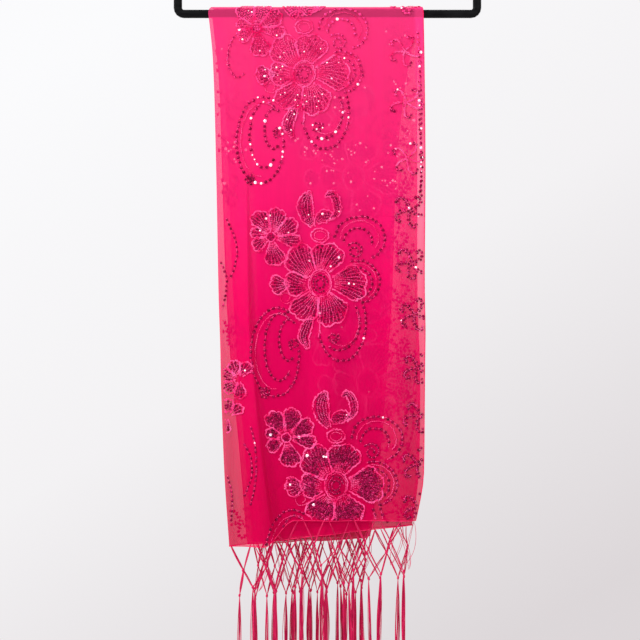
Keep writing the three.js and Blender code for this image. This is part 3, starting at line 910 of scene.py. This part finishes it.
def fringe_threads(name, fall, finish):
    """The fringe of one hem: bundles of silky threads knotted in two rows, then loose tassels."""
    x, out, hem, _ = folded_line(fall, 1.0)
    length = np.concatenate(((0,), np.cumsum(np.hypot(np.diff(x), np.diff(out)))))

    def on_hem(share, below):
        at = share * length[-1]
        spot = [np.interp(at, length, row) for row in (x, out, hem)]
        pull = LEFT_PULL * smooth(*LEFT_PULL_ACROSS, spot[0]) * smooth(0, SECOND_ROW_DROP, below)
        return hanging(fall, spot[0] + pull, spot[1], spot[2] + below)

    def bundle(start, end, count, slack, spread, steps, thickness):
        """Threads from one place to another, spread in the middle and gathered at the ends."""
        t = np.linspace(0, 1, steps)[:, None]
        for _ in range(count):
            angle = rng.uniform(0, 2 * np.pi)
            aside = np.array((math.cos(angle), 0.75 * math.sin(angle), 0)) * rng.uniform(0.3, 1)
            bow = rng.normal(0, slack, 3) * (1, 0.7, 0.4)
            turns = t * np.pi * rng.uniform(1.5, 4) + rng.uniform(0, 6)
            wave = np.sin(turns) * rng.normal(0, slack * 0.35)
            line = mix(start, end, t) + aside * spread * MM * (0.35 + 0.65 * np.sin(np.pi * t))
            line = line + bow * MM * np.sin(np.pi * t) + np.array((1, 0.4, 0)) * wave * MM * t
            paths.append(line)
            radii.append(thickness * MM * rng.uniform(0.75, 1.2))

    paths, radii, knots = [], [], []
    for i in range(ROOTS):
        share = (i + 0.5) / ROOTS
        low = on_hem(share + rng.normal(0, 0.003), SECOND_ROW_DROP + rng.normal(0, 5))
        for way in (-1, 1):
            high_share = (i + 0.5 + way / 2) / ROOTS
            if not 0 < high_share < 1:
                continue
            root = on_hem(share + way * 0.1 / ROOTS, -0.5)
            # Both strands that meet in a first-row knot ask for the same place.
            sway = 4.2 * math.sin(high_share * 97)
            high = on_hem(high_share + 0.004 * math.sin(high_share * 61), FIRST_ROW_DROP + sway)
            for start, end in ((root, high), (high, low)):
                bundle(start, end, **NET)
            if way > 0:
                knots.append(high)
        knots.append(low)
        end = on_hem(share, TASSEL_DROP - TASSEL_STEP * ((i * 7) % 3))
        for _ in range(TASSEL_THREADS):
            stray = rng.normal(0, TIP_STRAY) + (0, 0, TIP_RISE)
            bundle(low, end + stray * MM, **TASSEL)
    # Ravelled threads: long loops that have slipped out beside the knots.
    for share in LOOSE_THREADS:
        start, end = on_hem(share, 0), on_hem(share + rng.uniform(0.01, 0.03), SECOND_ROW_DROP - 8)
        for _ in range(3):
            t = np.linspace(0, 1, 14)[:, None]
            side = np.array((rng.uniform(-5, 9), rng.uniform(-2, 2), rng.uniform(-6, 4))) * MM
            paths.append(mix(start, end, t) + side * np.sin(np.pi * t) ** 0.8)
            radii.append(THREAD_RADIUS * 0.8 * MM)
    mesh = threads_mesh(name, paths, radii)
    threads = finished_piece(mesh, finish)

    knots = np.array(knots)
    count = len(knots)
    upright = np.tile((0.0, 0.0, 1.0), (count, 1)) + rng.normal(0, 0.18, (count, 3))
    facing = np.tile((0.0, 1.0, 0.0), (count, 1))
    size = rng.uniform(0.85, 1.15, count) * MM
    lengths, widths = KNOT_LENGTH * size, KNOT_WIDTH * size
    mesh = strewn_mesh(f"{name}_knots", knot_shape, knots, upright, facing, lengths, widths)
    mesh.shade_smooth()
    return threads, finished_piece(mesh, finish)


# Finishes.
class Wire:
    """A value in a finish. Sums of wires and numbers add Math nodes."""

    def __init__(self, finish, socket):
        self.finish = finish
        self.socket = socket

    def math(self, operation, *others):
        return self.finish.node("ShaderNodeMath", {"operation": operation}, (self, *others))

    def __add__(self, other):
        return self.math("ADD", other)

    def __mul__(self, other):
        return self.math("MULTIPLY", other)

    def __sub__(self, other):
        return self.math("SUBTRACT", other)

    def __rsub__(self, other):
        return (self * -1.0) + other

    __radd__ = __add__
    __rmul__ = __mul__


class Finish:
    """The nodes of a new material, or of the studio's backdrop, in front of its shader."""

    def __init__(self, name, world=None, **constants):
        self.holder = world or bpy.data.materials.new(name)
        self.holder.use_nodes = True
        self.tree = self.holder.node_tree
        self.shader = self.tree.nodes["Background" if world else "Principled BSDF"]
        for label, value in constants.items():
            self.feed(label.replace("_", " "), value)

    def feed(self, label, value, node=None):
        socket = (node or self.shader).inputs[label]
        if isinstance(value, Wire):
            self.tree.links.new(value.socket, socket)
        else:
            socket.default_value = value

    def node(self, kind, settings=None, values=(), output=0):
        made = self.tree.nodes.new(kind)
        for label, value in (settings or {}).items():
            if label == "stops":
                ramp = made.color_ramp.elements
                while len(ramp) < len(value):
                    ramp.new(0.5)
                for element, (position, colour) in zip(ramp, value):
                    element.position = position
                    element.color = (*colour, 1)
            else:
                setattr(made, label, value)
        pairs = values.items() if isinstance(values, dict) else enumerate(values)
        for label, value in pairs:
            self.feed(label, value, made)
        return Wire(self, made.outputs[output])

    def place(self):
        """The place on the object, in metres."""
        return self.node("ShaderNodeTexCoord", output=3)

    def part(self, vector, axis):
        return self.node("ShaderNodeSeparateXYZ", {}, (vector,), axis)

    def noise(self, vector, scale, detail=3.0, roughness=0.5):
        values = {"Vector": vector, "Scale": scale, "Detail": detail, "Roughness": roughness}
        return self.node("ShaderNodeTexNoise", {}, values)

    def colours(self, factor, *stops):
        return self.node("ShaderNodeValToRGB", {"stops": stops}, (factor,))

    def stretched(self, vector, scale):
        return self.node("ShaderNodeMapping", {}, {"Vector": vector, "Scale": scale})

    def bump(self, height, distance, strength, **over):
        """Raises the surface, over another bump given as Normal where there is one."""
        values = {"Height": height, "Distance": distance, "Strength": strength, **over}
        return self.node("ShaderNodeBump", {}, values)


# Finishes of the threads and the hem: scale and share of each noise in the tone, and its stretch
# along the height, colours by tone, the bumps' scale, detail, distance and strength, and the gloss.
YARNS = {
    "rolled_chiffon_hem": (
        ((260.0, 1.0),), 1.0, ((0.3, (0.70, 0.004, 0.07)), (0.7, (0.92, 0.03, 0.16))),
        (900.0, 2.0, 0.0004, 0.6), {"Roughness": 0.75, "Specular_IOR_Level": 0.04},
    ),
    "pink_stitch_thread": (
        ((170.0, 0.4), (55.0, 0.6)), 1.0,
        ((0.38, (0.78, 0.004, 0.11)), (0.48, (0.96, 0.05, 0.25)), (0.64, (1.0, 0.14, 0.40))),
        (1500.0, 1.0, 0.0003, 0.6), {"Roughness": 0.6, "Specular_IOR_Level": 0.08},
    ),
    "fringe_silk": (
        ((520.0, 1.0),), 0.08, ((0.28, (0.45, 0.002, 0.052)), (0.72, (0.81, 0.024, 0.135))),
        (1800.0, 1.0, 0.0002, 0.4), {"Roughness": 0.5, "Specular_IOR_Level": 0.1},
    ),
}


def yarn(name):
    noises, stretch, stops, (scale, detail, distance, strength), gloss = YARNS[name]
    finish = Finish(name, **gloss)
    place = finish.place()
    drawn = finish.stretched(place, (1.0, 1.0, stretch))
    tone = sum(finish.noise(drawn, size, 2.0) * share for size, share in noises)
    finish.feed("Base Color", finish.colours(tone, *stops))
    finish.feed("Normal", finish.bump(finish.noise(place, scale, detail), distance, strength))
    return finish.holder


WHITE, BLACK = (1, 1, 1), (0, 0, 0)
# The cloth's colours from the bar down, with painted light: a little paler towards the bar, as if lit
# from above, and painted shade darker lower down.
CLOTH_DYE_AND_PAINTED_LIGHT = (
    (0.02, (0.97, 0.044, 0.22)),
    (0.30, (0.96, 0.019, 0.18)),
    (0.45, (0.94, 0.008, 0.157)),
    (0.62, (0.84, 0.0012, 0.115)),
    (0.98, (0.64, 0.0003, 0.066)),
)
PAINTED_LIGHT_PER_METRE = 1.45
UNEVEN_DYE = 0.12
SHEERNESS = (0.54, 0.76)
# Painted shade where the black bar shows through the cloth lying on it, in a band this high in metres.
BAR_BAND_HEIGHT = 0.02
BAR_SHADE = (0.64, 0.85, 0.68)
BAR_BAND = ((0.175, WHITE), (0.25, BAR_SHADE), (0.725, BAR_SHADE), (0.8, WHITE))
FIRM_EDGE = 0.011
FIRM_ABOVE = 240
# Folds left by packing, in metres down the cloth: one of them, and how far apart they are.
PACKING_FOLDS = (0.056, 0.1633)
PACKING_FOLD_WIDTH = 0.006
THREADS_SCALE = 420.0


def chiffon():
    """Sheer crepe-twist cloth: fine threads both ways, faint uneven streaks of dye, firm long edges
    and the folds left by packing."""
    finish = Finish("sheer_chiffon", Roughness=0.8, Specular_IOR_Level=0.02)
    flat = finish.node("ShaderNodeUVMap", {"uv_map": "flat"})
    streaks = finish.noise(finish.stretched(flat, (90.0, 5.0, 1.0)), 1.0, 4.0, 0.6)
    tone = streaks * 0.5 + finish.noise(flat, 9.0) * 0.5
    height = finish.part(finish.place(), 2)
    from_bar = height + BAR_DROP * MM
    # Painted light: by height, the colour is paler towards the bar and darker lower down.
    dye_and_painted_light = finish.colours(from_bar * -PAINTED_LIGHT_PER_METRE + tone * UNEVEN_DYE, *CLOTH_DYE_AND_PAINTED_LIGHT)
    # Painted shade in a band where the cloth lies over the black bar.
    shade = finish.colours(from_bar * (1 / BAR_BAND_HEIGHT) + 0.5, *BAR_BAND)
    shaded = finish.node("ShaderNodeVectorMath", {"operation": "MULTIPLY"}, (dye_and_painted_light, shade))
    finish.feed("Base Color", shaded)
    from_edge = finish.part(flat, 0).math("PINGPONG", CUT_WIDTH * MM / 2)
    edge_band = finish.colours(from_edge, (FIRM_EDGE * 0.8, WHITE), (FIRM_EDGE, BLACK))
    near_bar = (from_bar + FIRM_ABOVE * MM).math("MAXIMUM", 0.0)
    firm_edge = edge_band * (near_bar * 0.9 + 0.15)
    low_down = (height + 0.5).math("MINIMUM", 0.0) * -0.25
    threads = streaks * (SHEERNESS[1] - SHEERNESS[0]) + SHEERNESS[0]
    finish.feed("Alpha", threads + firm_edge + low_down)
    waves = {"Vector": flat, "Scale": THREADS_SCALE, "Distortion": 0.6}
    warp, weft = (finish.node("ShaderNodeTexWave", {"bands_direction": way}, waves) for way in "XY")
    weave = finish.bump(warp + weft + streaks * 2.0, 0.00012, 0.5)
    beside = (finish.part(flat, 1) - PACKING_FOLDS[0]).math("PINGPONG", PACKING_FOLDS[1])
    fold = finish.colours(beside, (0.0, WHITE), (PACKING_FOLD_WIDTH, BLACK))
    finish.feed("Normal", finish.bump(fold, 0.0012, 0.6, Normal=weave))
    return finish.holder


def wine_sequin():
    """Wine red, with painted light that makes it paler and pinker near the bar."""
    finish = Finish("wine_sequin", Metallic=0.4, Specular_IOR_Level=0.12)
    place = finish.place()
    tone = finish.noise(place, 300.0, 1.0)
    # Painted light: near the bar the tone is pushed up to the pale pink stop.
    near_bar = (finish.part(place, 2) + (BAR_DROP + 190) * MM) * 1.6
    stops = ((0.35, (0.15, 0.0005, 0.025)), (0.62, (0.42, 0.001, 0.075)), (0.80, (0.95, 0.045, 0.24)))
    finish.feed("Base Color", finish.colours(tone + near_bar.math("MAXIMUM", 0.0), *stops))
    finish.feed("Roughness", tone * 0.25 + 0.2)
    return finish.holder


# Painted glint: a pale pinkish-white colour and a faint glow, whichever way the sequin faces the lamps.
def painted_glint_sequin():
    finish = Finish("painted_glint_sequin", Roughness=0.18, Coat_Weight=1.0, Coat_Roughness=0.05)
    tone = finish.noise(finish.place(), 350.0, 1.0)
    colour = finish.colours(tone, (0.4, (1.0, 0.38, 0.62)), (0.55, (1.0, 0.9, 0.96)))
    finish.feed("Base Color", colour)
    finish.feed("Emission Color", colour)
    finish.feed("Emission Strength", 0.35)
    return finish.holder


def black_plastic():
    """Moulded plastic with a fine grain and faint scuffs."""
    gloss = {"Coat_Weight": 0.015, "Coat_Roughness": 0.4, "Specular_IOR_Level": 0.045}
    finish = Finish("black_moulded_plastic", **gloss)
    place = finish.place()
    scuffs = finish.noise(finish.stretched(place, (1.0, 1.0, 6.0)), 38.0, 5.0, 0.65)
    stops = ((0.4, (0.003, 0.003, 0.0035)), (0.75, (0.009, 0.009, 0.010)))
    finish.feed("Base Color", finish.colours(scuffs, *stops))
    finish.feed("Roughness", scuffs * 0.22 + 0.22)
    finish.feed("Normal", finish.bump(finish.noise(place, 900.0, 2.0), 0.00008, 0.5))
    return finish.holder


# Studio.
CAMERA_ACROSS = -9.7
CAMERA_BELOW_BAR = 398.0
CAMERA_AWAY = 1965.0
CAMERA_LENS = 85
FLOOR_DROP = 1350.0
FLOOR_RADIUS = 1.5
# The backdrop gets paler upwards, between these heights of the way looked, leaning to one side.
BACKDROP_SPAN = (-0.28, 0.27)
BACKDROP_LEAN = -0.6
BACKDROP = ((0.0, (0.72, 0.68, 0.695)), (0.51, (0.90, 0.885, 0.90)), (1.0, (0.965, 0.965, 0.98)))
# The half of the room behind the camera gives less light than the pale half that shows.
FRONT_LIGHT = 0.96
FRONT_SPAN = (-0.35, 0.25)
# Place in metres, size and power.
LAMPS = {
    "key": ((-1.9, -0.98, 1.3), 0.22, 55.0),
    "fill": ((0.9, -1.6, 0.1), 1.2, 6.5),
    "back": ((0.3, 1.6, 0.5), 1.2, 4.0),
}
LAMPS_AIM = (0, 0, -0.45)


def studio():
    scene = bpy.context.scene
    camera = in_scene("camera", bpy.data.cameras.new("camera"))
    camera.data.lens = CAMERA_LENS
    camera.location = (CAMERA_ACROSS * MM, -CAMERA_AWAY * MM, -(BAR_DROP + CAMERA_BELOW_BAR) * MM)
    camera.rotation_euler = (math.pi / 2, 0, 0)
    scene.camera = camera

    bm = bmesh.new()
    bmesh.ops.create_circle(bm, cap_ends=True, radius=FLOOR_RADIUS, segments=96)
    bmesh.ops.translate(bm, verts=bm.verts[:], vec=(0, 0, -FLOOR_DROP * MM))
    mesh = mesh_from(bm, "floor")
    paint = Finish("pale_floor", Roughness=0.85)
    tone = paint.noise(paint.place(), 3.0, 2.0)
    paint.feed("Base Color", paint.colours(tone, (0.3, (0.80, 0.79, 0.79)), (0.7, (0.84, 0.83, 0.83))))
    mesh.materials.append(paint.holder)
    in_scene("floor", mesh)

    scene.world = bpy.data.worlds.new("studio")
    room = Finish("room", scene.world)
    across, depth, height = (room.part(room.node("ShaderNodeTexCoord"), axis) for axis in range(3))

    def spread(value, span, start, end):
        labels = ("Value", "From Min", "From Max", "To Min", "To Max")
        return room.node("ShaderNodeMapRange", {}, dict(zip(labels, (value, *span, start, end))))

    paler = spread(across * BACKDROP_LEAN + height, BACKDROP_SPAN, 0, 1)
    room.feed("Color", room.colours(paler, *BACKDROP))
    room.feed("Strength", spread(depth, FRONT_SPAN, FRONT_LIGHT, 1))

    for name, (place, size, power) in LAMPS.items():
        lamp = bpy.data.lights.new(name, "AREA")
        lamp.size = size
        lamp.energy = power
        light = in_scene(name, lamp)
        light.location = place
        aim = np.array(LAMPS_AIM) - place
        tilt = math.acos(-aim[2] / np.linalg.norm(aim))
        light.rotation_euler = (tilt, 0, math.atan2(aim[1], aim[0]) - math.pi / 2)
    scene.view_settings.view_transform = "Standard"


cloth, cloth_places = shawl_cloth(chiffon())
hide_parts("cloth_front_fall", "cloth_back_fall")
hem = rolled_hem(cloth_places, yarn("rolled_chiffon_hem"))

sewing_finishes = (yarn("pink_stitch_thread"), wine_sequin(), painted_glint_sequin())
sewing = sew_on("outer", front_and_back_embroidery(), on_outer, fits_outer, sewing_finishes)
under = on_hidden_layer(FRONT_FALL, "middle")
sewing += sew_on("middle", hidden_embroidery(), *under, sewing_finishes, HIDDEN_GLINTS)

silk = yarn("fringe_silk")
front_fringe = fringe_threads("front_fringe", FRONT_FALL, silk)
back_fringe = fringe_threads("back_fringe", BACK_FALL, silk)
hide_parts("fringe_front")
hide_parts("fringe_back")

hanger = bpy.data.objects["hanger"]
plastic = black_plastic()
for material_slot in hanger.material_slots:
    material_slot.material = plastic

studio()

bpy.context.view_layer.update()
